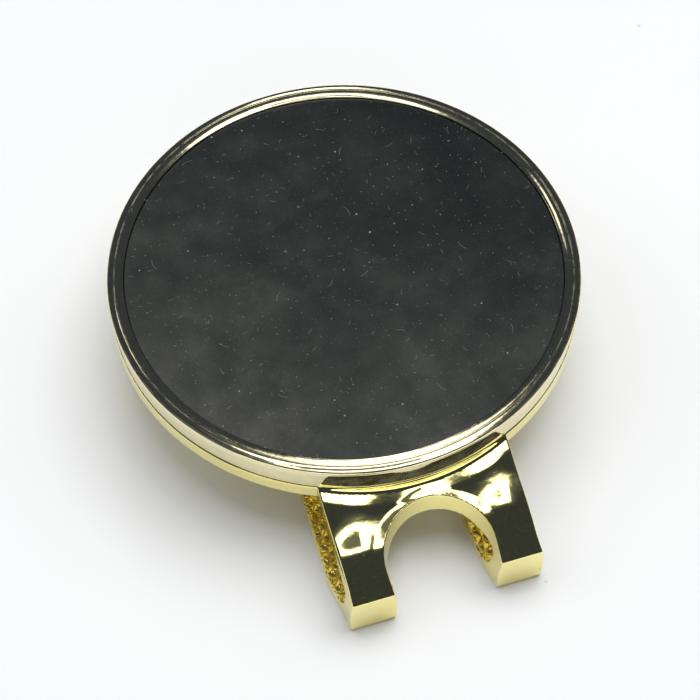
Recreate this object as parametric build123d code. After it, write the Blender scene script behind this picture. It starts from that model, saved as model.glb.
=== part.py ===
from build123d import *
import os
import math

# ---------------------------------------------------------------------------
# Cap clip with a magnetic ball marker. Millimetres.
# Origin: on the resting plane (underside of the lower jaw), on the disc axis.
# +Z up through the marker. The bend of the clip is towards -Y.
# ---------------------------------------------------------------------------

# --- marker ---------------------------------------------------------------
MARKER_R = 15.0            # outer radius of the marker
MARKER_T = 1.95            # marker thickness
RIM_CREST_R = 14.665       # highest ring of the rim
LAND_TILT = 15.0           # the outer land falls outwards from the crest, degrees
RIM_STEP_R = 14.42         # foot of the narrow sloping step inside the crest
RIM_STEP_DROP = 0.104      # step height
LEDGE_TILT = 12.5          # the ledge falls inwards from the step, degrees
RIM_LEDGE_R = 14.00        # inner edge of the ledge, where the face begins
FACE_DEPTH = 0.24          # face surface below the rim land
FACE_R = 13.97             # radius of the black face disc
FACE_T = 0.45              # thickness of the black face disc
FILM_T = 0.05              # adhesive film under the face disc

# --- clip base ------------------------------------------------------------
TOP_Z = 8.00               # height of the rim land above the resting plane
SEAT_Z = TOP_Z - MARKER_T  # plane the marker sits on
BASE_R = 15.0              # radius of the base disc
BASE_T = 1.25              # thickness of the base disc
BASE_Z = SEAT_Z - BASE_T   # underside of the base disc
BASE_EDGE = 0.14           # edge rounding of the base disc

MAGNET_R = 5.0
MAGNET_T = 0.80
GLUE_T = 0.08
MAGNET_SINK = 0.02         # magnet face below the seat plane
POCKET_R = MAGNET_R + 0.05
POCKET_D = MAGNET_T + GLUE_T + MAGNET_SINK

# --- arms, bend and jaw ----------------------------------------------------
FRONT_Y = -20.75           # flat front face of the bend
ARM_FRONT_Z = 3.36         # top edge of the front face
ARM_SLOPE = 0.385          # the arms fall this much per mm towards the bend
ARM_T = 1.25               # arm thickness, measured vertically
BEND_WALL = 1.30           # wall thickness of the bend, front to back
BEND_IN_R = 0.58           # inner corner radius of the bend
JAW_T = 1.00               # lower jaw thickness under the teeth
JAW_TIP_Y = 6.0            # free end of the lower jaw
ARM_HW = 6.02              # half width of the arms
JAW_HW = 6.55              # half width of the lower jaw
NOTCH_R = 3.42             # arch notch: radius and half width on the top face
NOTCH_Y = -19.60           # centre of the arch
NOTCH_DRAFT = 6.5          # the notch narrows downwards by this angle
SLOT_HW = 2.80             # half width of the slot in the lower jaw
SLOT_END_Y = -11.6         # closed end of the slot in the lower jaw
SPLIT_Z = 1.75             # flex line across the bend
COVE_R = 0.28              # concave blend where the neck meets the disc wall

TOOTH_PITCH = 0.80
TOOTH_H = 0.14
LIP_Z = 2.00               # top of the rounded gripping lip near the free end


def arm_top(y):
    return ARM_FRONT_Z + ARM_SLOPE * (y - FRONT_Y)


def cyl(r, z0, z1):
    return Pos(0, 0, (z0 + z1) / 2) * Cylinder(r, z1 - z0)


# ---------------------------------------------------------------------------
# Marker body: one lathe profile with rim crest, land, step, ledge and face recess
# ---------------------------------------------------------------------------
recess_z = TOP_Z - FACE_DEPTH - FACE_T - FILM_T
land = math.tan(math.radians(LAND_TILT))
ledge = math.tan(math.radians(LEDGE_TILT))
profile = [
    (0, SEAT_Z),
    (MARKER_R - 0.16, SEAT_Z),
    (MARKER_R - 0.05, SEAT_Z + 0.04),
    (MARKER_R, SEAT_Z + 0.15),
    (MARKER_R, TOP_Z - 0.21),
    (MARKER_R - 0.04, TOP_Z - 0.125),
    (MARKER_R - 0.12, TOP_Z - land * (MARKER_R - 0.12 - RIM_CREST_R)),
    (RIM_CREST_R, TOP_Z),
    (RIM_CREST_R - 0.06, TOP_Z - 0.030),
    (RIM_STEP_R, TOP_Z - RIM_STEP_DROP),
    (RIM_LEDGE_R + 0.04, TOP_Z - RIM_STEP_DROP - ledge * (RIM_STEP_R - RIM_LEDGE_R - 0.04)),
    (RIM_LEDGE_R, TOP_Z - 0.225),
    (RIM_LEDGE_R, recess_z),
    (0, recess_z),
]
marker_face = make_face(Polyline(*[(x, 0, z) for x, z in profile], close=True))
marker_body = revolve(marker_face, Axis.Z, 360)

# Black face disc with a softened top edge, and its adhesive film
face_z1 = TOP_Z - FACE_DEPTH
face_inlay = cyl(FACE_R, face_z1 - FACE_T, face_z1)
face_inlay = fillet(face_inlay.edges().group_by(Axis.Z)[-1], 0.06)
inlay_adhesive = cyl(FACE_R - 0.25, recess_z, recess_z + FILM_T)

# ---------------------------------------------------------------------------
# Magnet and its adhesive, in the pocket in the top of the base disc
# ---------------------------------------------------------------------------
mag_z1 = SEAT_Z - MAGNET_SINK
mag_z0 = mag_z1 - MAGNET_T
magnet = cyl(MAGNET_R, mag_z0, mag_z1)
magnet = chamfer(magnet.edges().group_by(Axis.Z)[-1], 0.08)
magnet_adhesive = cyl(MAGNET_R - 0.1, mag_z0 - GLUE_T, mag_z0)

# ---------------------------------------------------------------------------
# Base disc
# ---------------------------------------------------------------------------
disc = cyl(BASE_R, BASE_Z, SEAT_Z)
disc = fillet(disc.edges().group_by(Axis.Z)[-1], BASE_EDGE)
disc = fillet(disc.edges().group_by(Axis.Z)[0], 0.20)

# ---------------------------------------------------------------------------
# Neck, arms and upper half of the bend: side profile, then plan shape
# ---------------------------------------------------------------------------
in_y = FRONT_Y + BEND_WALL                      # inner face of the bend wall
arm_bot_y = -15.0 + (BASE_Z - (arm_top(-15.0) - ARM_T)) / ARM_SLOPE
end_y = -10.5                                   # inside the disc
root_y = FRONT_Y + (SEAT_Z - 0.03 - ARM_FRONT_Z) / ARM_SLOPE   # the neck's top runs out flush with the seat
upper_pts = [
    (FRONT_Y, SPLIT_Z),
    (FRONT_Y, ARM_FRONT_Z - 0.10),
    (FRONT_Y + 0.10, arm_top(FRONT_Y + 0.10)),
    (root_y, SEAT_Z - 0.03),
    (end_y, SEAT_Z - 0.03),
    (end_y, BASE_Z + 0.3),
    (arm_bot_y + 0.9, BASE_Z + 0.3),
    (arm_bot_y, BASE_Z),
    (in_y + 0.95, arm_top(in_y + 0.95) - ARM_T),
    (in_y + 0.42, arm_top(in_y + 0.42) - ARM_T - 0.03),
    (in_y + 0.12, arm_top(in_y) - ARM_T - 0.20),
    (in_y, arm_top(in_y) - ARM_T - 0.46),
    (in_y, SPLIT_Z),
]
upper = extrude(Plane.YZ * make_face(Polyline(*upper_pts, close=True)), 7.2, both=True)

# front view envelope: sides flare a little towards the bottom
env_u = [(-6.24, SPLIT_Z - 0.1), (6.24, SPLIT_Z - 0.1), (ARM_HW + 0.06, 3.0), (ARM_HW, 3.7),
         (ARM_HW + 0.06, 6.3), (-ARM_HW - 0.06, 6.3), (-ARM_HW, 3.7), (-ARM_HW - 0.06, 3.0)]
env_upper = extrude(Plane.XZ * make_face(Polyline(*env_u, close=True)), 40, both=True)
upper = upper & env_upper

# arch notch, narrowing downwards
notch = extrude(Plane.XY.offset(ARM_FRONT_Z + 2.0) * (
    Pos(0, NOTCH_Y) * Circle(NOTCH_R + 0.2) + Pos(0, NOTCH_Y - 3) * Rectangle(2 * NOTCH_R + 0.4, 6)),
    -6.5, taper=NOTCH_DRAFT)

base = disc + upper

# concave blend where the sloping neck runs into the disc wall
neck_edges = [ed for ed in base.edges()
              if ed.geom_type in (GeomType.ELLIPSE, GeomType.BSPLINE, GeomType.OTHER)
              and -15.05 < ed.center().Y < -13.0 and 5.0 < ed.center().Z < 5.9
              and ed.length > 8.0]
if neck_edges:
    base = fillet(neck_edges, COVE_R)

pocket = cyl(POCKET_R, SEAT_Z - POCKET_D, SEAT_Z + 1)
clip_base = base - pocket - notch

# ---------------------------------------------------------------------------
# Lower jaw with the lower half of the bend
# ---------------------------------------------------------------------------
lower_pts = [
    (FRONT_Y, SPLIT_Z),
    (in_y, SPLIT_Z),
    (in_y, JAW_T + 0.50),
    (in_y + 0.14, JAW_T + 0.20),
    (in_y + 0.50, JAW_T),
    (JAW_TIP_Y - 6.0, JAW_T),
    (JAW_TIP_Y - 4.6, JAW_T + 0.16),
    (JAW_TIP_Y - 3.0, LIP_Z - 0.12),
    (JAW_TIP_Y - 2.3, LIP_Z),
    (JAW_TIP_Y - 1.5, LIP_Z - 0.03),
    (JAW_TIP_Y - 0.6, LIP_Z - 0.40),
    (JAW_TIP_Y - 0.05, LIP_Z - 1.05),
    (JAW_TIP_Y - 0.12, 0.42),
    (JAW_TIP_Y - 0.55, 0.08),
    (JAW_TIP_Y - 1.0, 0.0),
    (FRONT_Y + 0.40, 0.0),
    (FRONT_Y + 0.12, 0.10),
    (FRONT_Y, 0.36),
]
lower = extrude(Plane.YZ * make_face(Polyline(*lower_pts, close=True)), 7.2, both=True)

# plan outline of the jaw: a little wider than the arms, rounded at the free end
plan = Polyline(
    (-6.14, FRONT_Y - 0.5), (-6.20, FRONT_Y + 0.6), (-6.50, FRONT_Y + 2.0), (-6.62, FRONT_Y + 3.6),
    (-6.50, -12.5), (-6.25, -6.0), (-5.95, 1.5), (-5.5, 4.2), (-4.4, 5.6), (-3.2, 6.2),
    (3.2, 6.2), (4.4, 5.6), (5.5, 4.2), (5.95, 1.5), (6.25, -6.0), (6.50, -12.5),
    (6.62, FRONT_Y + 3.6), (6.50, FRONT_Y + 2.0), (6.20, FRONT_Y + 0.6), (6.14, FRONT_Y - 0.5),
    close=True)
lower = lower & extrude(Plane.XY.offset(-1) * make_face(plan), 6)

# slot in the jaw: parallel sides, flaring at the bend to meet the arch notch
hw_f = NOTCH_R - math.tan(math.radians(NOTCH_DRAFT)) * (ARM_FRONT_Z - SPLIT_Z)
slot_pts = Polyline(
    (-hw_f, FRONT_Y - 1), (-hw_f, FRONT_Y + 0.25), (-SLOT_HW - 0.16, FRONT_Y + 1.6),
    (-SLOT_HW, FRONT_Y + 3.6), (-SLOT_HW, SLOT_END_Y - SLOT_HW),
    (SLOT_HW, SLOT_END_Y - SLOT_HW), (SLOT_HW, FRONT_Y + 3.6),
    (SLOT_HW + 0.16, FRONT_Y + 1.6), (hw_f, FRONT_Y + 0.25), (hw_f, FRONT_Y - 1),
    close=True)
slot = extrude(Plane.XY.offset(-1) * make_face(slot_pts), 6) \
    + Pos(0, SLOT_END_Y - SLOT_HW, 1) * Cylinder(SLOT_HW, 6)
lower = lower - slot

# gripping face: shallow V grooves across the jaw
y = in_y + 1.2
while y < JAW_TIP_Y - 6.6:
    v = extrude(Plane.YZ * make_face(Polyline(
        (y - 0.26, JAW_T + 0.05), (y, JAW_T - TOOTH_H), (y + 0.26, JAW_T + 0.05), close=True)), 7.2, both=True)
    lower = lower - v
    y += TOOTH_PITCH
clip_jaw = lower

# ---------------------------------------------------------------------------
# Export: one STEP per piece
# ---------------------------------------------------------------------------
parts = {
    "clip_base": clip_base,
    "clip_jaw": clip_jaw,
    "magnet": magnet,
    "magnet_adhesive": magnet_adhesive,
    "marker_body": marker_body,
    "face_inlay": face_inlay,
    "inlay_adhesive": inlay_adhesive,
}
os.makedirs("parts", exist_ok=True)
for name, shape in parts.items():
    export_step(shape, "parts/" + name + ".step")
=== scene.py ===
import math

import bpy
import numpy as np
from mathutils import Matrix, Vector


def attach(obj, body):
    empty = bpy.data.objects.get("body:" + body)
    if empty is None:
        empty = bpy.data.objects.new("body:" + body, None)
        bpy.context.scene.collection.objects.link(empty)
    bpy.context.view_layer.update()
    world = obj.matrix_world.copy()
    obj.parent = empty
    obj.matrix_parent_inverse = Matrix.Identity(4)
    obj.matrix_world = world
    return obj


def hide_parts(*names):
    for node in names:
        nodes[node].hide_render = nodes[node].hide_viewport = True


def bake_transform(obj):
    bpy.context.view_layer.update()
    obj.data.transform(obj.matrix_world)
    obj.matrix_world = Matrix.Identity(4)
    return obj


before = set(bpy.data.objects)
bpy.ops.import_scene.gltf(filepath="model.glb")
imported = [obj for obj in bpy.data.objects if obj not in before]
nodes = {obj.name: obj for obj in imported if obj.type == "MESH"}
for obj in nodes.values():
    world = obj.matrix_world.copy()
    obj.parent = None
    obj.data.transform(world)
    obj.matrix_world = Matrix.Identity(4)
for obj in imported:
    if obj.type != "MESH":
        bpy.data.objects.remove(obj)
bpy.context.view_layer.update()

MM = 0.001

# ---------------------------------------------------------------------------
# Sizes, in millimetres, in the CAD frame
# ---------------------------------------------------------------------------
TOP_Z = 8.00
MARKER_T = 1.95
MARKER_R = 15.0
SEAT_Z = TOP_Z - MARKER_T
BASE_R = 15.0
BASE_T = 1.25
BASE_Z = SEAT_Z - BASE_T
FACE_DEPTH = 0.24
FACE_R = 13.97
FACE_T = 0.45
FILM_T = 0.05
POCKET_R = 5.05
POCKET_D = 0.90
FRONT_Y = -20.75
ARM_FRONT_Z = 3.36
ARM_SLOPE = 0.385
ARM_T = 1.25
BEND_WALL = 1.30
JAW_T = 1.00
JAW_TIP_Y = 6.0
NOTCH_R = 3.42
NOTCH_Y = -19.60
NOTCH_DRAFT = 6.5
SLOT_HW = 2.80
SLOT_END_Y = -11.6
COVE_R = 0.22               # concave blend where the neck meets the disc wall
LIP_Z = 2.00
IN_Y = FRONT_Y + BEND_WALL

rng = np.random.default_rng(41)


def arm_top(y):
    return ARM_FRONT_Z + ARM_SLOPE * (y - FRONT_Y)


# ---------------------------------------------------------------------------
# Smooth value noise on numpy arrays (seeded)
# ---------------------------------------------------------------------------
_tables = {}


def vnoise(x, y, z, seed):
    t = _tables.get(seed)
    if t is None:
        t = np.random.default_rng(seed).random((32, 32, 32)).astype(np.float32) * 2 - 1
        _tables[seed] = t
    xi = np.floor(x).astype(np.int64)
    yi = np.floor(y).astype(np.int64)
    zi = np.floor(z).astype(np.int64)
    fx = (x - xi).astype(np.float32)
    fy = (y - yi).astype(np.float32)
    fz = (z - zi).astype(np.float32)
    fx = fx * fx * (3 - 2 * fx)
    fy = fy * fy * (3 - 2 * fy)
    fz = fz * fz * (3 - 2 * fz)
    out = 0.0
    for dx in (0, 1):
        wx = fx if dx else 1 - fx
        for dy in (0, 1):
            wy = fy if dy else 1 - fy
            for dz in (0, 1):
                wz = fz if dz else 1 - fz
                out = out + t[(xi + dx) & 31, (yi + dy) & 31, (zi + dz) & 31] * wx * wy * wz
    return out


# ---------------------------------------------------------------------------
# Distance fields
# ---------------------------------------------------------------------------
def r_and(a, b, r):
    """intersection with a rounded convex edge of radius r"""
    return np.minimum(-r, np.maximum(a, b)) + np.sqrt(np.maximum(r + a, 0) ** 2 + np.maximum(r + b, 0) ** 2)


def r_or(a, b, r):
    """union with a concave fillet of radius r"""
    return np.maximum(r, np.minimum(a, b)) - np.sqrt(np.maximum(r - a, 0) ** 2 + np.maximum(r - b, 0) ** 2)


def poly_sdf(px, py, pts):
    """signed distance to a closed polygon, negative inside"""
    n = len(pts)
    d = np.full(px.shape, 1e9, np.float32)
    s = np.ones(px.shape, np.float32)
    for i in range(n):
        ax, ay = pts[i]
        bx, by = pts[i - 1]
        ex, ey = bx - ax, by - ay
        wx, wy = px - ax, py - ay
        t = np.clip((wx * ex + wy * ey) / (ex * ex + ey * ey), 0, 1)
        dx, dy = wx - ex * t, wy - ey * t
        d = np.minimum(d, dx * dx + dy * dy)
        c1, c2, c3 = py >= ay, py < by, ex * wy > ey * wx
        flip = (c1 & c2 & c3) | (~c1 & ~c2 & ~c3)
        s = np.where(flip, -s, s)
    return s * np.sqrt(d)


def round_poly(pts, radii, n=10):
    """replaces each corner of a polygon with an arc of its own radius"""
    out = []
    m = len(pts)
    for i in range(m):
        p0, p1, p2 = np.array(pts[i - 1], float), np.array(pts[i], float), np.array(pts[(i + 1) % m], float)
        r = radii[i]
        a, b = p0 - p1, p2 - p1
        la, lb = np.hypot(*a), np.hypot(*b)
        a, b = a / la, b / lb
        ang = math.acos(max(-1, min(1, float(a @ b))))
        if r <= 0 or ang > math.pi - 1e-3:
            out.append(tuple(p1))
            continue
        t = min(r / math.tan(ang / 2), la * 0.49, lb * 0.49)
        rr = t * math.tan(ang / 2)
        bis = (a + b) / np.hypot(*(a + b))
        c = p1 + bis * rr / math.sin(ang / 2)
        s, e = p1 + a * t - c, p1 + b * t - c
        a0, a1 = math.atan2(s[1], s[0]), math.atan2(e[1], e[0])
        da = (a1 - a0 + math.pi) % (2 * math.pi) - math.pi
        for k in range(n + 1):
            q = a0 + da * k / n
            out.append((c[0] + rr * math.cos(q), c[1] + rr * math.sin(q)))
    return out


# side profile of neck, arms, bend and jaw as one bent strip (y, z)
_arm_bot_y = -15.0 + (BASE_Z - (arm_top(-15.0) - ARM_T)) / ARM_SLOPE
SIDE = round_poly(
    [
        (FRONT_Y, 0.0),
        (FRONT_Y, ARM_FRONT_Z),
        (-12.6, arm_top(-12.6)),
        (-9.0, arm_top(-12.6)),
        (-9.0, BASE_Z + 0.35),
        (_arm_bot_y + 1.2, BASE_Z + 0.30),
        (_arm_bot_y, BASE_Z),
        (IN_Y, arm_top(IN_Y) - ARM_T),
        (IN_Y, JAW_T),
        (JAW_TIP_Y - 5.4, JAW_T),
        (JAW_TIP_Y - 3.3, LIP_Z),
        (JAW_TIP_Y - 1.3, LIP_Z),
        (JAW_TIP_Y - 0.02, LIP_Z - 0.95),
        (JAW_TIP_Y, 0.0),
    ],
    [0.42, 0.10, 0.3, 0, 0, 0.4, 0.3, 0.62, 0.50, 1.6, 1.0, 0.8, 0.5, 0.6],
)

# plan outline of the jaw
JAW_PLAN = round_poly(
    [
        (-6.20, FRONT_Y - 1.5), (-6.20, FRONT_Y + 0.9), (-6.62, FRONT_Y + 3.4), (-6.50, -12.5), (-6.25, -6.0),
        (-5.95, 1.5), (-5.2, JAW_TIP_Y + 0.02), (5.2, JAW_TIP_Y + 0.02), (5.95, 1.5), (6.25, -6.0),
        (6.50, -12.5), (6.62, FRONT_Y + 3.4), (6.20, FRONT_Y + 0.9), (6.20, FRONT_Y - 1.5),
    ],
    [0, 3, 4, 20, 20, 20, 1.9, 1.9, 20, 20, 20, 4, 3, 0],
)
_hwf = NOTCH_R - math.tan(math.radians(NOTCH_DRAFT)) * (ARM_FRONT_Z - 1.75)
SLOT_PLAN = round_poly(
    [
        (-_hwf, FRONT_Y - 2.0), (-_hwf, FRONT_Y + 0.30), (-SLOT_HW - 0.14, FRONT_Y + 1.7),
        (-SLOT_HW, FRONT_Y + 3.8), (-SLOT_HW, SLOT_END_Y), (SLOT_HW, SLOT_END_Y),
        (SLOT_HW, FRONT_Y + 3.8), (SLOT_HW + 0.14, FRONT_Y + 1.7), (_hwf, FRONT_Y + 0.30), (_hwf, FRONT_Y - 2.0),
    ],
    [0, 1.2, 2, 4, 2.79, 2.79, 4, 2, 1.2, 0],
)


def sstep(x, a, b):
    t = np.clip((x - a) / (b - a), 0, 1)
    return t * t * (3 - 2 * t)


def knurl(x, y):
    """granular gripping face: uneven pyramids about half a millimetre across, 0 at the tips, positive downwards"""
    o = x * 0
    wx = 0.17 * vnoise(x * 1.3, y * 1.3, o + 3.5, 5) + 0.06 * vnoise(x * 3.1, y * 3.1, o + 1.5, 9)
    wy = 0.17 * vnoise(x * 1.3 + 9, y * 1.3, o + 7.5, 6)
    u = (x + wx) / 0.47
    v = (y + wy) / 0.50
    tu = np.abs(((u + v) * 0.5) % 1.0 - 0.5) * 2
    tv = np.abs(((u - v) * 0.5) % 1.0 - 0.5) * 2
    d = 1 - np.minimum(1 - tu, 1 - tv) * 1.45
    d = np.clip(d, 0, 1)
    tall = 0.5 + 0.5 * vnoise(x * 1.9 + 4, y * 1.9 + 2, o + 5.5, 10)
    grain = vnoise(x * 4.7, y * 4.7, o + 1.5, 8)
    return 0.05 + (0.08 + 0.07 * tall) * d + 0.028 * grain


def crown(X, Y):
    """gentle unevenness of the polished neck and arms, mm upwards"""
    ax = np.abs(X)
    # a soft shoulder part way down each arm
    t = Y - (FRONT_Y + 2.45 + 0.03 * X)
    shoulder = 0.285 * (1 - 0.014 * X) * np.exp(-(t / 1.55) ** 2) * (0.80 + 0.20 * np.cos((ax - 4.7) * 1.6))
    across = 0.035 * np.cos((ax - 4.6) * 1.25)
    ripple = 0.010 * np.sin(X * 0.62 + Y * 0.85 + 0.6) + 0.005 * np.sin(X * 1.5 - Y * 0.7 + 2.0)
    fade = sstep(Y, FRONT_Y, FRONT_Y + 0.9)
    calm = sstep(Y, -14.5, -16.2)
    # the neck eases off just in front of the disc wall, and rolls up to the lip of the arch
    x1 = np.maximum(0.98 - (np.sqrt(X * X + Y * Y) - BASE_R), 0)
    root = -0.122 * (np.sqrt(x1 * x1 + 0.04) - 0.2)
    da = np.sqrt(X * X + np.maximum(Y - NOTCH_Y, 0) ** 2) - NOTCH_R
    x2 = np.maximum(0.85 - np.maximum(da, 0), 0)
    lip = 0.112 * (np.sqrt(x2 * x2 + 0.04) - 0.2) * sstep(Y, NOTCH_Y - 0.4, NOTCH_Y + 1.6)
    return ((shoulder + across + ripple - 0.02) * calm + root + lip) * fade


def clip_field(X, Y, Z, fine=True):
    """distance field of the whole clip casting, for broadcastable X, Y, Z in mm"""
    rr = np.sqrt(X * X + Y * Y)
    disc = r_and(rr - BASE_R, np.abs(Z - (SEAT_Z + BASE_Z) / 2) - BASE_T / 2, 0.15)
    # bent strip: side profile, with the uneven top of the neck and arms
    side = poly_sdf(Y + 0 * Z, Z + 0 * Y, SIDE)
    side = side - crown(X, Y) * sstep(Z, 2.6, 3.3)
    # concave blend where the sloping neck runs into the disc wall
    cove = 0.06 + (COVE_R - 0.06) * sstep(Z, BASE_Z - 0.05, BASE_Z + 0.35)
    grown = r_or(disc, side, cove)
    # side walls of neck, arms and bend above, plan of the jaw below
    up_hw = np.interp(Z, [0.0, 1.75, 3.0, 3.7, 6.3], [6.22, 6.22, 6.08, 6.02, 6.08]).astype(np.float32)
    up_side = (np.abs(X) - up_hw)
    plan = poly_sdf(X + 0 * Y, Y + 0 * X, JAW_PLAN)
    s = sstep(Z, 1.1, 2.7) * np.maximum(sstep(Y, -4.0, -8.0), sstep(Z, 2.9, 3.2))
    walls = plan * (1 - s) + up_side * s
    body = r_and(grown, walls, 0.13)
    body = np.minimum(body, disc)
    body = r_and(body, Z - SEAT_Z, 0.09)
    # arch notch through the arms and the bend, narrowing downwards, running into the slot of the jaw
    hw = NOTCH_R - math.tan(math.radians(NOTCH_DRAFT)) * (ARM_FRONT_Z - Z)
    ny = Y - NOTCH_Y
    arch = (np.where(ny > 0, np.sqrt(X * X + np.maximum(ny, 0) ** 2), np.abs(X)) - hw) * 0.9935
    slot = poly_sdf(X + 0 * Y, Y + 0 * X, SLOT_PLAN)
    t = sstep(Z, 0.8, 2.3)
    cut = slot * (1 - t) + arch * t
    body = r_and(body, -cut, 0.10 - 0.05 * sstep(Z, 2.2, 3.2))
    # magnet pocket
    body = r_and(body, -np.maximum(rr - POCKET_R, SEAT_Z - POCKET_D - Z), 0.05)
    # granular gripping face of the jaw
    band = sstep(Y, IN_Y + 0.45, IN_Y + 0.85) * sstep(Y, JAW_TIP_Y - 4.9, JAW_TIP_Y - 5.6) * sstep(Z, 0.55, 0.80) * sstep(Z, 1.5, 1.2)
    body = body + knurl(X, Y) * band
    if fine:
        body = body + 0.006 * vnoise(X / 2.9 + 11, Y / 2.9 + 5, Z / 2.9, 21) + 0.0035 * vnoise(X / 0.95 + 3, Y / 0.95, Z / 0.95, 22)
    return body


def full_field(X, Y, Z):
    return clip_field(X, Y, Z, True)


# ---------------------------------------------------------------------------
# Surface nets on a rectilinear grid, with vertices pulled onto the surface
# ---------------------------------------------------------------------------
def axis_points(parts):
    out = [parts[0][0]]
    for a, b, h in parts:
        n = max(1, int(round((b - a) / h)))
        out += list(a + (b - a) * (np.arange(1, n + 1) / n))
    return np.array(out, np.float32)


def surface_nets(field, xs, ys, zs, steps=3):
    nx, ny, nz = len(xs), len(ys), len(zs)
    F = np.empty((nx, ny, nz), np.float32)
    for i0 in range(0, nx, 16):
        i1 = min(nx, i0 + 16)
        F[i0:i1] = clip_field(xs[i0:i1, None, None], ys[None, :, None], zs[None, None, :], False)
    inside = F < 0
    c = np.zeros((nx - 1, ny - 1, nz - 1), np.int8)
    for dx in (0, 1):
        for dy in (0, 1):
            for dz in (0, 1):
                c += inside[dx:nx - 1 + dx, dy:ny - 1 + dy, dz:nz - 1 + dz]
    cell = (c > 0) & (c < 8)
    ci, cj, ck = np.nonzero(cell)
    index = np.full(cell.shape, -1, np.int32)
    index[ci, cj, ck] = np.arange(len(ci), dtype=np.int32)
    # vertex: mean of the edge crossings of its cell
    acc = np.zeros((len(ci), 3), np.float64)
    cnt = np.zeros(len(ci), np.float64)
    corners = [(dx, dy, dz) for dx in (0, 1) for dy in (0, 1) for dz in (0, 1)]
    grid = [xs, ys, zs]
    for a in corners:
        for ax in range(3):
            if a[ax] == 1:
                continue
            b = list(a)
            b[ax] = 1
            fa = F[ci + a[0], cj + a[1], ck + a[2]]
            fb = F[ci + b[0], cj + b[1], ck + b[2]]
            m = (fa < 0) != (fb < 0)
            t = np.where(m, fa / np.where(m, fa - fb, 1), 0)
            pa = np.stack([grid[0][ci + a[0]], grid[1][cj + a[1]], grid[2][ck + a[2]]], 1).astype(float)
            pb = np.stack([grid[0][ci + b[0]], grid[1][cj + b[1]], grid[2][ck + b[2]]], 1).astype(float)
            p = pa + (pb - pa) * t[:, None]
            acc += p * m[:, None]
            cnt += m
    v = acc / cnt[:, None]
    lo = np.stack([xs[ci], ys[cj], zs[ck]], 1)
    hi = np.stack([xs[ci + 1], ys[cj + 1], zs[ck + 1]], 1)
    size = hi - lo
    e = 0.012

    def grad(p):
        g = np.empty_like(p)
        for a in range(3):
            q1, q2 = p.copy(), p.copy()
            q1[:, a] += e
            q2[:, a] -= e
            g[:, a] = (field(q1[:, 0], q1[:, 1], q1[:, 2]) - field(q2[:, 0], q2[:, 1], q2[:, 2])) / (2 * e)
        return g

    for _ in range(steps):
        d = field(v[:, 0], v[:, 1], v[:, 2])
        g = grad(v)
        n2 = np.maximum((g * g).sum(1), 0.05)
        v = v - g * (d / n2)[:, None] * 0.9
        v = np.clip(v, lo - 0.15 * size, hi + 0.15 * size)
    normal = grad(v)
    normal /= np.maximum(np.linalg.norm(normal, axis=1), 1e-6)[:, None]
    # quads across every grid edge that changes sign
    quads = []
    for ax in range(3):
        sl0 = [slice(None)] * 3
        sl1 = [slice(None)] * 3
        sl0[ax], sl1[ax] = slice(0, -1), slice(1, None)
        a, b = inside[tuple(sl0)], inside[tuple(sl1)]
        change = a != b
        u, w = (ax + 1) % 3, (ax + 2) % 3
        i = list(np.nonzero(change))
        ok = (i[u] > 0) & (i[w] > 0) & (i[u] < F.shape[u] - 1) & (i[w] < F.shape[w] - 1)
        i = [k[ok] for k in i]
        flip = a[tuple(i)]

        def vid(du, dw):
            j = [k.copy() for k in i]
            j[u] = j[u] - du
            j[w] = j[w] - dw
            return index[tuple(j)]

        q = np.stack([vid(1, 1), vid(0, 1), vid(0, 0), vid(1, 0)], 1)
        q = np.where(flip[:, None], q, q[:, ::-1])
        quads.append(q)
    quads = np.concatenate(quads)
    return v, quads, normal


def mesh_object(name, verts, faces, normals=None, smooth=True):
    me = bpy.data.meshes.new(name)
    verts = np.asarray(verts, np.float32) * MM
    me.vertices.add(len(verts))
    me.vertices.foreach_set("co", verts.ravel())
    if isinstance(faces, np.ndarray):
        k = faces.shape[1]
        me.loops.add(faces.size)
        me.loops.foreach_set("vertex_index", faces.astype(np.int32).ravel())
        me.polygons.add(len(faces))
        me.polygons.foreach_set("loop_start", (np.arange(len(faces)) * k).astype(np.int32))
        me.polygons.foreach_set("loop_total", np.full(len(faces), k, np.int32))
    else:
        tot = np.array([len(f) for f in faces], np.int32)
        me.loops.add(int(tot.sum()))
        me.loops.foreach_set("vertex_index", np.concatenate([np.asarray(f, np.int32) for f in faces]))
        me.polygons.add(len(faces))
        me.polygons.foreach_set("loop_start", np.concatenate([[0], np.cumsum(tot)[:-1]]).astype(np.int32))
        me.polygons.foreach_set("loop_total", tot)
    me.update(calc_edges=True)
    me.validate()
    if smooth:
        me.polygons.foreach_set("use_smooth", np.ones(len(me.polygons), bool))
    if normals is not None:
        me.normals_split_custom_set_from_vertices([tuple(n) for n in normals])
    o = bpy.data.objects.new(name, me)
    bpy.context.scene.collection.objects.link(o)
    return o


def lathe(profile, n, wob=None):
    """closed lathe from a profile of (r, z) that starts and ends on the axis"""
    prof = np.array(profile, float)
    th = np.arange(n) * 2 * math.pi / n
    verts = [(0, 0, prof[0, 1])]
    ring = prof[1:-1]
    for r, z in ring:
        rr = np.full(n, r)
        zz = np.full(n, z)
        if wob is not None:
            dr, dz = wob(th, r, z)
            rr = rr + dr
            zz = zz + dz
        verts += list(zip(rr * np.cos(th), rr * np.sin(th), zz))
    verts.append((0, 0, prof[-1, 1]))
    faces = []
    m = len(ring)
    a = np.arange(n)
    b = (a + 1) % n
    faces += [(0, 1 + int(j), 1 + int(i)) for i, j in zip(a, b)]
    for k in range(m - 1):
        s0, s1 = 1 + k * n, 1 + (k + 1) * n
        faces += [(s0 + int(i), s0 + int(j), s1 + int(j), s1 + int(i)) for i, j in zip(a, b)]
    s = 1 + (m - 1) * n
    last = 1 + m * n
    faces += [(s + int(i), s + int(j), last) for i, j in zip(a, b)]
    return verts, faces


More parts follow.
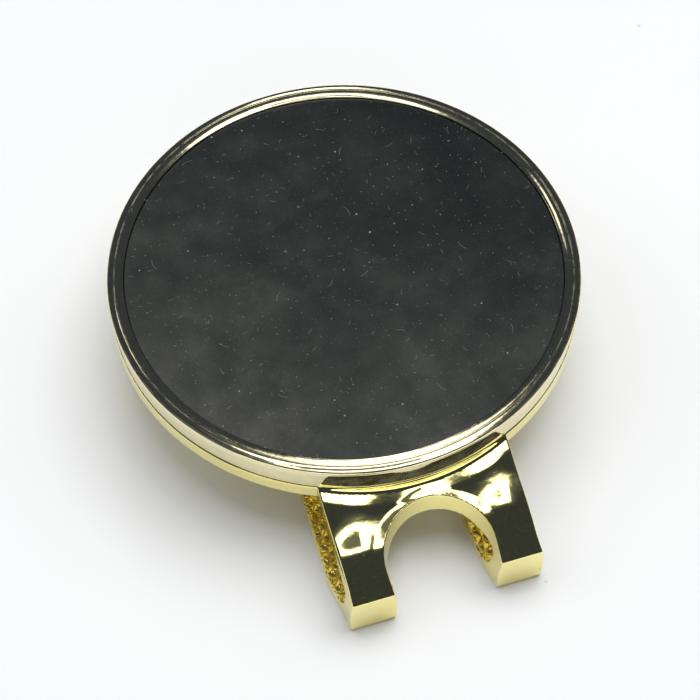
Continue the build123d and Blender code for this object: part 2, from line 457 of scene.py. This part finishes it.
def arc(cx, cz, r, a0, a1, n):
    return [(cx + r * math.cos(math.radians(a)), cz + r * math.sin(math.radians(a))) for a in np.linspace(a0, a1, n)]


# ---------------------------------------------------------------------------
# Node helpers
# ---------------------------------------------------------------------------
class Nodes:
    def __init__(self, tree):
        self.t = tree
        self.x = 0

    def new(self, kind, **props):
        n = self.t.nodes.new(kind)
        self.x += 40
        n.location = (self.x, 0)
        for k, v in props.items():
            setattr(n, k, v)
        return n

    def link(self, a, b):
        self.t.links.new(a, b)

    def put(self, sock, v):
        if hasattr(v, "is_output"):
            self.t.links.new(v, sock)
        else:
            sock.default_value = v

    def math(self, op, a, b=0.0, c=0.0, clamp=False):
        n = self.new("ShaderNodeMath", operation=op, use_clamp=clamp)
        self.put(n.inputs[0], a)
        self.put(n.inputs[1], b)
        self.put(n.inputs[2], c)
        return n.outputs[0]

    def vmath(self, op, a, b=(0, 0, 0), scale=None):
        n = self.new("ShaderNodeVectorMath", operation=op)
        self.put(n.inputs[0], a)
        self.put(n.inputs[1], b)
        if scale is not None:
            self.put(n.inputs["Scale"], scale)
        return n.outputs["Value"] if op in ("DOT_PRODUCT", "LENGTH", "DISTANCE") else n.outputs[0]

    def step(self, v, a, b, lo=0.0, hi=1.0):
        n = self.new("ShaderNodeMapRange", interpolation_type="SMOOTHSTEP")
        self.put(n.inputs[0], v)
        n.inputs[1].default_value = a
        n.inputs[2].default_value = b
        n.inputs[3].default_value = lo
        n.inputs[4].default_value = hi
        return n.outputs[0]

    def noise(self, vec, scale, detail=3.0, rough=0.5, distortion=0.0, out="Fac"):
        n = self.new("ShaderNodeTexNoise")
        n.inputs["Scale"].default_value = scale
        n.inputs["Detail"].default_value = detail
        n.inputs["Roughness"].default_value = rough
        n.inputs["Distortion"].default_value = distortion
        self.put(n.inputs["Vector"], vec)
        return n.outputs[out]

    def voronoi(self, vec, scale, feature="F1", rand=1.0):
        n = self.new("ShaderNodeTexVoronoi", feature=feature)
        n.inputs["Scale"].default_value = scale
        n.inputs["Randomness"].default_value = rand
        self.put(n.inputs["Vector"], vec)
        return n

    def mix(self, fac, a, b):
        n = self.new("ShaderNodeMix", data_type="RGBA")
        self.put(n.inputs[0], fac)
        self.put(n.inputs[6], a)
        self.put(n.inputs[7], b)
        return n.outputs[2]

    def mixf(self, fac, a, b):
        n = self.new("ShaderNodeMix", data_type="FLOAT")
        self.put(n.inputs[0], fac)
        self.put(n.inputs[2], a)
        self.put(n.inputs[3], b)
        return n.outputs[0]

    def bump(self, height, strength, distance, normal=None):
        n = self.new("ShaderNodeBump")
        n.inputs["Strength"].default_value = strength
        n.inputs["Distance"].default_value = distance
        self.put(n.inputs["Height"], height)
        if normal is not None:
            self.put(n.inputs["Normal"], normal)
        return n.outputs[0]


def material(name):
    m = bpy.data.materials.new(name)
    m.use_nodes = True
    m.node_tree.nodes.clear()
    n = Nodes(m.node_tree)
    out = n.new("ShaderNodeOutputMaterial")
    p = n.new("ShaderNodeBsdfPrincipled")
    n.link(p.outputs[0], out.inputs[0])
    geo = n.new("ShaderNodeTexCoord")
    # object coordinates in millimetres
    pos = n.vmath("SCALE", geo.outputs["Object"], scale=1000.0)
    return m, n, p, pos


def srgb(r, g, b):
    f = lambda c: (c / 255 / 12.92) if c / 255 <= 0.04045 else ((c / 255 + 0.055) / 1.055) ** 2.4
    return (f(r), f(g), f(b), 1.0)


def stretched(n, pos, k):
    """coordinates squeezed along one slanted direction, for fine polishing lines"""
    m = n.new("ShaderNodeMapping")
    n.put(m.inputs["Vector"], pos)
    m.inputs["Rotation"].default_value = (0.2, 0.1, 0.5)
    m.inputs["Scale"].default_value = k
    return m.outputs[0]


def gold(name, colour, deep, rough, haze, seed):
    m, n, p, pos = material(name)
    off = n.vmath("ADD", pos, (seed * 3.1, seed * 1.7, seed * 2.3))
    cloud = n.noise(off, 0.35, 4, 0.6)
    smear = n.step(n.noise(off, 0.8, 5, 0.62, 0.6), 0.52, 0.74)
    lines = n.noise(stretched(n, off, (9.0, 0.7, 6.0)), 1.6, 4, 0.6)
    lines2 = n.noise(stretched(n, off, (0.8, 11.0, 5.0)), 1.3, 3, 0.6)
    fine = n.math("MULTIPLY", n.step(lines, 0.60, 0.72), 0.6)
    fine = n.math("MAXIMUM", fine, n.math("MULTIPLY", n.step(lines2, 0.63, 0.74), 0.5))
    specks = n.voronoi(off, 2.1)
    pit = n.math("MULTIPLY", n.step(specks.outputs["Distance"], 0.07, 0.03), n.step(n.vmath("DOT_PRODUCT", specks.outputs["Color"], (1, 0, 0)), 0.80, 0.84))
    col = n.mix(n.step(cloud, 0.35, 0.70), colour, deep)
    col = n.mix(n.math("MULTIPLY", pit, 0.65), col, (0.22, 0.17, 0.07, 1))
    if name == "clip_gold":
        # painted shade: the jaw's gripping face, which lies in shade under the arms, is painted a darker, more
        # orange gold than the rest of the casting
        sep = n.new("ShaderNodeSeparateXYZ")
        n.put(sep.inputs[0], pos)
        inner = n.math("MULTIPLY", n.step(sep.outputs[2], 0.58, 0.72), n.step(sep.outputs[2], 1.42, 1.28))
        inner = n.math("MULTIPLY", inner, n.step(sep.outputs[1], IN_Y + 0.2, IN_Y + 0.6))
        col = n.mix(n.math("MULTIPLY", inner, 0.75), col, (0.93, 0.70, 0.13, 1))
    n.put(p.inputs["Base Color"], col)
    # plating rubbed dull along the scratches and, on the marker, along the crest and outer edge
    worn = n.math("MULTIPLY", fine, 0.10)
    if name == "marker_gold":
        radius = n.vmath("LENGTH", n.vmath("MULTIPLY", pos, (1, 1, 0)))
        crest = n.step(n.math("ABSOLUTE", n.math("SUBTRACT", radius, 14.575)), 0.055, 0.020)
        edge = n.math("MULTIPLY", n.step(radius, 14.90, 14.95), n.step(n.math("ABSOLUTE", n.math("SUBTRACT", radius, 14.965)), 0.05, 0.02))
        rubbed = n.math("MULTIPLY", n.math("MAXIMUM", crest, n.math("MULTIPLY", edge, 0.6)), n.step(n.noise(off, 1.1, 5, 0.7), 0.36, 0.62))
        worn = n.math("MAXIMUM", worn, n.math("MULTIPLY", rubbed, 0.24))
    else:
        worn = n.math("MAXIMUM", worn, n.math("MULTIPLY", inner, 0.17))
    n.put(p.inputs["Metallic"], n.math("SUBTRACT", 1.0, worn))
    r = n.math("ADD", rough, n.math("MULTIPLY", smear, haze))
    r = n.math("ADD", r, n.math("MULTIPLY", fine, 0.10))
    r = n.math("ADD", r, n.math("MULTIPLY", pit, 0.3))
    n.put(p.inputs["Roughness"], r)
    h = n.math("MULTIPLY", n.noise(off, 1.1, 2, 0.5), 1.0)
    h = n.math("ADD", h, n.math("MULTIPLY", n.noise(off, 4.2, 3, 0.55), 0.16))
    h = n.math("SUBTRACT", h, n.math("MULTIPLY", fine, 0.05))
    h = n.math("SUBTRACT", h, n.math("MULTIPLY", pit, 0.5))
    n.put(p.inputs["Normal"], n.bump(h, 1.0, 0.006 * MM))
    return m


def nickel_material():
    m, n, p, pos = material("magnet_nickel")
    cloud = n.noise(pos, 1.2, 5, 0.6)
    sep = n.new("ShaderNodeSeparateXYZ")
    n.put(sep.inputs[0], pos)
    radius = n.vmath("LENGTH", n.vmath("MULTIPLY", pos, (1, 1, 0)))
    rub = n.noise(n.vmath("MULTIPLY", pos, (1.0, 1.0, 0.2)), 3.0, 3, 0.7)
    rings = n.math("SINE", n.math("MULTIPLY", n.math("ADD", radius, n.math("MULTIPLY", rub, 0.5)), 42.0))
    scratch = n.step(n.noise(stretched(n, pos, (12, 0.8, 1)), 1.5, 4, 0.6), 0.60, 0.72)
    n.put(p.inputs["Base Color"], n.mix(n.step(cloud, 0.35, 0.7), (0.60, 0.585, 0.55, 1), (0.46, 0.45, 0.43, 1)))
    p.inputs["Metallic"].default_value = 1.0
    r = n.math("ADD", 0.24, n.math("MULTIPLY", cloud, 0.16))
    n.put(p.inputs["Roughness"], n.math("ADD", r, n.math("MULTIPLY", scratch, 0.12)))
    h = n.math("ADD", n.math("MULTIPLY", rings, 0.25), n.math("MULTIPLY", cloud, 1.0))
    h = n.math("SUBTRACT", h, n.math("MULTIPLY", scratch, 0.6))
    n.put(p.inputs["Normal"], n.bump(h, 1.0, 0.006 * MM))
    return m


def adhesive_material():
    m, n, p, pos = material("cured_adhesive")
    cloud = n.noise(pos, 1.5, 4, 0.6)
    n.put(p.inputs["Base Color"], n.mix(cloud, (0.42, 0.36, 0.22, 1), (0.56, 0.50, 0.34, 1)))
    n.put(p.inputs["Roughness"], n.math("ADD", 0.30, n.math("MULTIPLY", cloud, 0.25)))
    n.put(p.inputs["Normal"], n.bump(n.noise(pos, 2.5, 4, 0.6), 0.8, 0.02 * MM))
    return m


def fibres(n, pos, scale, length, width, keep, seed, bend):
    """short curved fibres scattered over a plane: 1 on a fibre, 0 elsewhere"""
    flat = n.vmath("ADD", n.vmath("MULTIPLY", pos, (1, 1, 0)), (seed, seed * 0.7, 0.0))
    v = n.new("ShaderNodeTexVoronoi", voronoi_dimensions="2D", feature="F1")
    v.inputs["Scale"].default_value = scale
    n.put(v.inputs["Vector"], flat)
    d = n.vmath("SUBTRACT", flat, n.vmath("SCALE", v.outputs["Position"], scale=1.0))
    sep = n.new("ShaderNodeSeparateXYZ")
    n.put(sep.inputs[0], d)
    cs = n.new("ShaderNodeSeparateColor")
    n.put(cs.inputs[0], v.outputs["Color"])
    ang = n.math("MULTIPLY", cs.outputs[0], 6.2832)
    c, s = n.math("COSINE", ang), n.math("SINE", ang)
    u = n.math("ADD", n.math("MULTIPLY", sep.outputs[0], c), n.math("MULTIPLY", sep.outputs[1], s))
    w = n.math("SUBTRACT", n.math("MULTIPLY", sep.outputs[1], c), n.math("MULTIPLY", sep.outputs[0], s))
    w = n.math("ADD", w, n.math("MULTIPLY", n.math("MULTIPLY", u, u), bend))
    ln = n.math("MULTIPLY", n.math("ADD", cs.outputs[2], 0.35), length)
    inside = n.math("MULTIPLY", n.step(n.math("SUBTRACT", n.math("ABSOLUTE", u), ln), 0.03, -0.03),
                    n.step(n.math("ABSOLUTE", w), width * 1.5, width * 0.5))
    return n.math("MULTIPLY", inside, n.step(cs.outputs[1], keep, keep - 0.01))


def dots(n, pos, scale, size, keep, seed):
    flat = n.vmath("ADD", n.vmath("MULTIPLY", pos, (1, 1, 0)), (seed, seed * 0.7, 0.0))
    v = n.new("ShaderNodeTexVoronoi", voronoi_dimensions="2D", feature="F1")
    v.inputs["Scale"].default_value = scale
    n.put(v.inputs["Vector"], flat)
    cs = n.new("ShaderNodeSeparateColor")
    n.put(cs.inputs[0], v.outputs["Color"])
    rad = n.math("MULTIPLY", n.math("ADD", cs.outputs[0], 0.25), size * scale)
    hit = n.step(n.math("SUBTRACT", v.outputs["Distance"], rad), 0.0, -0.25 * size * scale)
    return n.math("MULTIPLY", n.math("MULTIPLY", hit, n.step(cs.outputs[1], keep, keep - 0.01)), n.math("ADD", n.math("MULTIPLY", cs.outputs[2], 0.75), 0.25))


def face_material():
    m, n, p, pos = material("black_gloss_face")
    cloud = n.noise(pos, 0.15, 5, 0.60, 0.5)
    cloud2 = n.noise(n.vmath("ADD", pos, (40, 11, 3)), 0.45, 5, 0.65, 0.4)
    # painted sheen: slant paints the face lighter towards the front left, in place of the reflection across the
    # glossy black; it is added to the cloudy smudge haze
    slant = n.math("MULTIPLY_ADD", n.vmath("DOT_PRODUCT", pos, (-0.016, -0.022, 0)), 1.0, 0.40, clamp=True)
    smudge_and_sheen = n.math("ADD", n.math("MULTIPLY", n.step(cloud, 0.30, 0.72), 0.22), n.math("MULTIPLY", n.step(cloud2, 0.35, 0.75), 0.16))
    smudge_and_sheen = n.math("ADD", smudge_and_sheen, n.math("MULTIPLY", slant, 0.78))
    # dust: grains, finer powder and short fibres
    dust = n.math("MULTIPLY", dots(n, pos, 0.55, 0.055, 0.55, 3.0), 0.9)
    dust = n.math("MAXIMUM", dust, n.math("MULTIPLY", dots(n, pos, 1.7, 0.034, 0.55, 17.0), 0.50))
    dust = n.math("MAXIMUM", dust, n.math("MULTIPLY", dots(n, pos, 4.2, 0.020, 0.60, 29.0), 0.22))
    fib = n.math("MAXIMUM", fibres(n, pos, 0.42, 0.30, 0.011, 0.30, 5.0, 0.6), fibres(n, pos, 0.8, 0.16, 0.010, 0.28, 13.0, -0.9))
    dust = n.math("MAXIMUM", dust, n.math("MULTIPLY", fib, 0.34))
    # the face's own near-black, lightened by the smudge haze and by the painted sheen
    base = n.mix(n.math("MULTIPLY", smudge_and_sheen, smudge_and_sheen), (0.0115, 0.0146, 0.0134, 1), (0.0810, 0.0815, 0.0715, 1))
    col = n.mix(n.math("MULTIPLY", dust, 0.75), base, (0.50, 0.50, 0.47, 1))
    n.put(p.inputs["Base Color"], col)
    r = n.math("ADD", 0.16, n.math("MULTIPLY", smudge_and_sheen, 0.10))
    n.put(p.inputs["Roughness"], n.math("ADD", r, n.math("MULTIPLY", dust, 0.5)))
    p.inputs["IOR"].default_value = 1.50
    h = n.math("ADD", n.math("MULTIPLY", n.noise(pos, 0.30, 3, 0.5), 0.9), n.math("MULTIPLY", n.noise(pos, 3.0, 3, 0.6), 0.05))
    h = n.math("ADD", h, n.math("MULTIPLY", dust, 0.35))
    n.put(p.inputs["Normal"], n.bump(h, 1.0, 0.006 * MM))
    return m


# ---------------------------------------------------------------------------
# Materials
# ---------------------------------------------------------------------------
CLIP_GOLD = gold("clip_gold", (0.985, 0.89, 0.39, 1), (0.955, 0.84, 0.34, 1), 0.055, 0.05, 1.0)
MARKER_GOLD = gold("marker_gold", (0.94, 0.86, 0.55, 1), (0.90, 0.80, 0.48, 1), 0.075, 0.07, 2.0)
NICKEL = nickel_material()
GLUE = adhesive_material()
BLACK = face_material()


def paint(o, m):
    o.data.materials.clear()
    o.data.materials.append(m)


# ---------------------------------------------------------------------------
# The clip casting: neck, base disc, arms, bend and jaw as one continuous piece
# ---------------------------------------------------------------------------
q = 1.10
xs = axis_points([(-15.35, -7.0, 0.13 * q), (-7.0, 7.0, 0.075 * q), (7.0, 15.35, 0.13 * q)])
ys = axis_points([(-21.05, -12.2, 0.075 * q), (-12.2, 15.35, 0.125 * q)])
zs = axis_points([(-0.20, 6.25, 0.065 * q)])
cv, cf, cn = surface_nets(full_field, xs, ys, zs)
clip = mesh_object("clip_casting", cv, cf, cn)
paint(clip, CLIP_GOLD)
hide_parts("clip_base", "clip_jaw")
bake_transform(clip)

# ---------------------------------------------------------------------------
# The marker: a turned shell with a crowned land, a narrow step and a ledge
# ---------------------------------------------------------------------------
recess_z = TOP_Z - FACE_DEPTH - FACE_T - FILM_T
# the lower part of the side tapers in slightly towards the seat
SIDE_IN, SIDE_H = 0.03, 1.02
SIDE_A = math.degrees(math.atan2(SIDE_IN, SIDE_H))
prof = [(0.0, SEAT_Z)]
prof += [(r, SEAT_Z) for r in (4.0, 9.0, 13.5, 14.6)]
prof += arc(MARKER_R - 0.14 - SIDE_IN, SEAT_Z + 0.14, 0.14, -90, -SIDE_A, 8)
prof += [(MARKER_R - SIDE_IN * 0.50, SEAT_Z + 0.14 + 0.5 * SIDE_H), (MARKER_R - SIDE_IN * 0.06, SEAT_Z + 0.14 + 0.92 * SIDE_H),
         (MARKER_R + 0.002, SEAT_Z + 0.14 + 1.08 * SIDE_H), (MARKER_R + 0.006, TOP_Z - 0.47)]
prof += [(MARKER_R + 0.004, TOP_Z - 0.405), (MARKER_R - 0.010, TOP_Z - 0.385), (MARKER_R + 0.002, TOP_Z - 0.360)]
# rim: one roll falling outwards and one falling inwards from a narrow crest
CREST_R, LEDGE_R = 14.60, 14.52


def land_tilt(r):
    return 5.5 + 34.0 * (r - 14.59)


def ledge_tilt(r):
    return 6.0 + 24.0 * (14.55 - r)


land = [(CREST_R, TOP_Z)]
for r in np.linspace(CREST_R, 14.93, 12)[1:]:
    r_, z_ = land[-1]
    land.append((r, z_ - (r - r_) * math.tan(math.radians(land_tilt((r + r_) / 2)))))
ledge = [(LEDGE_R, TOP_Z - 0.045)]
for r in np.linspace(LEDGE_R, 14.06, 14)[1:]:
    r_, z_ = ledge[-1]
    ledge.append((r, z_ - (r_ - r) * math.tan(math.radians(ledge_tilt((r + r_) / 2)))))
_edge, _et0 = 0.16, land_tilt(14.94)
_zc = land[-1][1] - _edge * math.cos(math.radians(_et0))
prof += arc(14.93 - _edge * math.sin(math.radians(_et0)) + 0.012, _zc, _edge, 0, 90 - _et0, 12)[:-1]
prof += land[::-1]
prof += [(CREST_R - 0.015, TOP_Z - 0.003), (CREST_R - 0.04, TOP_Z - 0.018), (LEDGE_R + 0.015, TOP_Z - 0.040)]
prof += ledge
_iz = ledge[-1][1]
prof += arc(14.05, _iz - 0.048, 0.045, 90 - 4, 180, 6)
prof += [(14.005, TOP_Z - 0.30), (14.00, recess_z), (9.0, recess_z), (0.0, recess_z)]


def marker_wob(th, r, z):
    dz = 0.0
    if z > TOP_Z - 0.14 and r > 14.0:
        dz = 0.004 * np.sin(5 * th + 0.7) + 0.003 * np.sin(13 * th + 2.1) + 0.0012 * np.sin(37 * th + 1.0)
    dr = 0.004 * np.sin(3 * th + 1.1) + 0.002 * np.sin(11 * th)
    return (dr if r > 13.9 else 0.0), dz


mv, mf = lathe(prof, 900, marker_wob)
marker = mesh_object("marker_shell", mv, mf)
paint(marker, MARKER_GOLD)
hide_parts("marker_body")
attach(marker, "marker")

# ---------------------------------------------------------------------------
# The black face: a thin disc, very slightly uneven, with a softened edge
# ---------------------------------------------------------------------------
fz1 = TOP_Z - FACE_DEPTH
fprof = [(0.0, fz1 - FACE_T)]
fprof += [(r, fz1 - FACE_T) for r in (5.0, 10.0, 13.8)]
fprof += arc(FACE_R - 0.05, fz1 - FACE_T + 0.05, 0.05, -90, 0, 4)
fprof += arc(FACE_R - 0.07, fz1 - 0.07, 0.07, 0, 90, 7)
fprof += [(r, fz1) for r in np.linspace(13.7, 0.4, 56)] + [(0.0, fz1)]


def face_wob(th, r, z):
    if z < fz1 - 1e-6 or r > 13.8:
        return 0.0, 0.0
    x, y = r * np.cos(th), r * np.sin(th)
    f = min(1.0, (13.9 - r) / 1.2)
    return 0.0, f * (0.010 * vnoise(x / 5.5, y / 5.5, x * 0 + 2.5, 31) + 0.003 * vnoise(x / 2.0, y / 2.0, x * 0 + 6.5, 32))


fv, ff = lathe(fprof, 480, face_wob)
face = mesh_object("black_face", fv, ff)
paint(face, BLACK)
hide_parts("face_inlay")
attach(face, "marker")

paint(nodes["magnet"], NICKEL)
paint(nodes["magnet_adhesive"], GLUE)
paint(nodes["inlay_adhesive"], GLUE)

# ---------------------------------------------------------------------------
# Floor
# ---------------------------------------------------------------------------
fm, n, p, pos = material("table_top")
cloud = n.noise(pos, 0.010, 3, 0.5)
grain = n.noise(pos, 1.1, 4, 0.6)
speck = dots(n, pos, 0.045, 0.16, 0.35, 7.0)
col = n.mix(cloud, (0.90, 0.905, 0.90, 1), (0.87, 0.875, 0.872, 1))
col = n.mix(n.math("MULTIPLY", speck, 0.5), col, (0.35, 0.34, 0.33, 1))
n.put(p.inputs["Base Color"], col)
p.inputs["Roughness"].default_value = 0.55
n.put(p.inputs["Normal"], n.bump(grain, 0.25, 0.02 * MM))
me = bpy.data.meshes.new("floor")
S = 0.75
me.from_pydata([(-S, -S, 0), (S, -S, 0), (S, S, 0), (-S, S, 0)], [], [(0, 1, 2, 3)])
floor = bpy.data.objects.new("floor", me)
bpy.context.scene.collection.objects.link(floor)
floor.data.materials.append(fm)

# ---------------------------------------------------------------------------
# Surroundings: a dim room with a few soft bright panels, and soft key light
# ---------------------------------------------------------------------------
world = bpy.data.worlds.new("room")
bpy.context.scene.world = world
world.use_nodes = True
world.node_tree.nodes.clear()
w = Nodes(world.node_tree)
wout = w.new("ShaderNodeOutputWorld")
bg = w.new("ShaderNodeBackground")
w.link(bg.outputs[0], wout.inputs[0])
wdir = w.new("ShaderNodeTexCoord").outputs["Generated"]


def direction(az, el):
    """unit vector; azimuth 0 is +Y (away from the bend), positive towards +X"""
    a, e = math.radians(az), math.radians(el)
    return Vector((math.sin(a) * math.cos(e), math.cos(a) * math.cos(e), math.sin(e)))


def panel(az, el, half_w, half_h, soft, roll=0.0):
    """soft-edged rectangular panel as seen from the object, 0..1"""
    d = direction(az, el)
    e1 = d.cross(Vector((0, 0, 1)))
    if e1.length < 1e-3:
        e1 = Vector((1, 0, 0))
    e1.normalize()
    e2 = e1.cross(d).normalized()
    c, s = math.cos(math.radians(roll)), math.sin(math.radians(roll))
    a1, a2 = e1 * c + e2 * s, e2 * c - e1 * s
    dn = w.vmath("DOT_PRODUCT", wdir, tuple(d))
    du = w.math("DIVIDE", w.vmath("DOT_PRODUCT", wdir, tuple(a1)), w.math("MAXIMUM", dn, 0.02))
    dv = w.math("DIVIDE", w.vmath("DOT_PRODUCT", wdir, tuple(a2)), w.math("MAXIMUM", dn, 0.02))
    tw, th, ts = math.tan(math.radians(half_w)), math.tan(math.radians(half_h)), math.tan(math.radians(soft))
    fu = w.step(w.math("ABSOLUTE", du), tw + ts, tw - ts)
    fv_ = w.step(w.math("ABSOLUTE", dv), th + ts, th - ts)
    f = w.math("MULTIPLY", fu, fv_)
    return w.math("MULTIPLY", f, w.math("GREATER_THAN", dn, 0.02))


def lat(total, name, az, el, hw, hh, soft, bright, roll=0.0):
    return w.math("ADD", total, w.math("MULTIPLY", panel(az, el, hw, hh, soft, roll), bright))


def overhead(u0, u1, v0, v1, soft):
    """soft-edged rectangle near the zenith, limits as slopes x/z and y/z of the direction"""
    sep = w.new("ShaderNodeSeparateXYZ")
    w.put(sep.inputs[0], wdir)
    z = w.math("MAXIMUM", sep.outputs[2], 0.05)
    u, v = w.math("DIVIDE", sep.outputs[0], z), w.math("DIVIDE", sep.outputs[1], z)
    fu = w.math("MULTIPLY", w.step(u, u0 - soft, u0 + soft), w.step(u, u1 + soft, u1 - soft))
    fv_ = w.math("MULTIPLY", w.step(v, v0 - soft, v0 + soft), w.step(v, v1 + soft, v1 - soft))
    return w.math("MULTIPLY", w.math("MULTIPLY", fu, fv_), w.math("GREATER_THAN", sep.outputs[2], 0.05))


total = w.math("ADD", 0.0, 0.0)
# overhead frame of light with a darker middle
frame_out = overhead(-0.16, 0.36, -0.092, 0.25, 0.018)
frame_in = overhead(-0.12, 0.185, 0.000, 0.150, 0.014)
halo = overhead(-0.24, 0.44, -0.125, 0.32, 0.060)
total = w.math("ADD", total, w.math("MULTIPLY", w.math("SUBTRACT", frame_out, frame_in, clamp=True), 2.6))
total = w.math("ADD", total, w.math("MULTIPLY", halo, 0.09))
# window behind
total = lat(total, "window", 14, 36.0, 4.8, 8.0, 1.5, 2.4)
# small lamp at the back left
total = lat(total, "lamp", -13, 57, 2.2, 3.2, 0.8, 1.6)
# low bright strip in front
total = lat(total, "low_front", 188, 4, 50, 7.5, 3, 2.2)
# dim bluish room plus the panels
light = w.vmath("SCALE", (0.98, 1.0, 1.0), scale=total)
w.put(bg.inputs["Color"], w.vmath("ADD", light, (0.034, 0.041, 0.062)))
bg.inputs["Strength"].default_value = 1.0


def area(name, az, el, dist, size, power, colour=(1, 1, 1), glossy=True):
    d = bpy.data.lights.new(name, "AREA")
    d.shape = "DISK"
    d.size = size
    d.energy = power
    d.color = colour
    o = bpy.data.objects.new(name, d)
    bpy.context.scene.collection.objects.link(o)
    v = direction(az, el)
    o.location = v * dist
    o.rotation_euler = (-v).to_track_quat("-Z", "Y").to_euler()
    o.visible_glossy = glossy
    return o


area("key", 40, 73, 0.9, 0.92, 6.15, (1.0, 1.0, 1.0), glossy=False)
area("right", 82, 48, 0.9, 0.6, 1.65, (1.0, 1.0, 0.99), glossy=False)
area("left", -62, 48, 1.0, 0.8, 2.35, (0.98, 0.99, 1.0), glossy=False)
area("front", 190, 30, 0.9, 0.7, 0.8, (1.0, 0.99, 0.97), glossy=False)

# ---------------------------------------------------------------------------
# Camera
# ---------------------------------------------------------------------------
CAM_AZ, CAM_EL, CAM_ROLL = -17.35, 57.25, -0.45
CAM_TX, CAM_TY, CAM_D = -0.385, 5.335, 126.88
a, e, k = math.radians(CAM_AZ), math.radians(CAM_EL), math.radians(CAM_ROLL)
back = Vector((math.sin(a) * math.cos(e), -math.cos(a) * math.cos(e), math.sin(e)))
r0 = Vector((math.cos(a), math.sin(a), 0))
u0 = back.cross(r0)
right = r0 * math.cos(k) + u0 * math.sin(k)
up = u0 * math.cos(k) - r0 * math.sin(k)
loc = (back * CAM_D - right * CAM_TX - up * CAM_TY + Vector((0, 0, TOP_Z))) * MM
cam_data = bpy.data.cameras.new("camera")
cam_data.sensor_width = 36
cam_data.lens = 2000 * 36 / 700
cam_data.clip_start = 0.005
cam = bpy.data.objects.new("camera", cam_data)
bpy.context.scene.collection.objects.link(cam)
cam.matrix_world = Matrix(((right.x, up.x, back.x, loc.x), (right.y, up.y, back.y, loc.y), (right.z, up.z, back.z, loc.z), (0, 0, 0, 1)))
bpy.context.scene.camera = cam
bpy.context.scene.view_settings.view_transform = "Standard"
bpy.context.scene.view_settings.look = "None"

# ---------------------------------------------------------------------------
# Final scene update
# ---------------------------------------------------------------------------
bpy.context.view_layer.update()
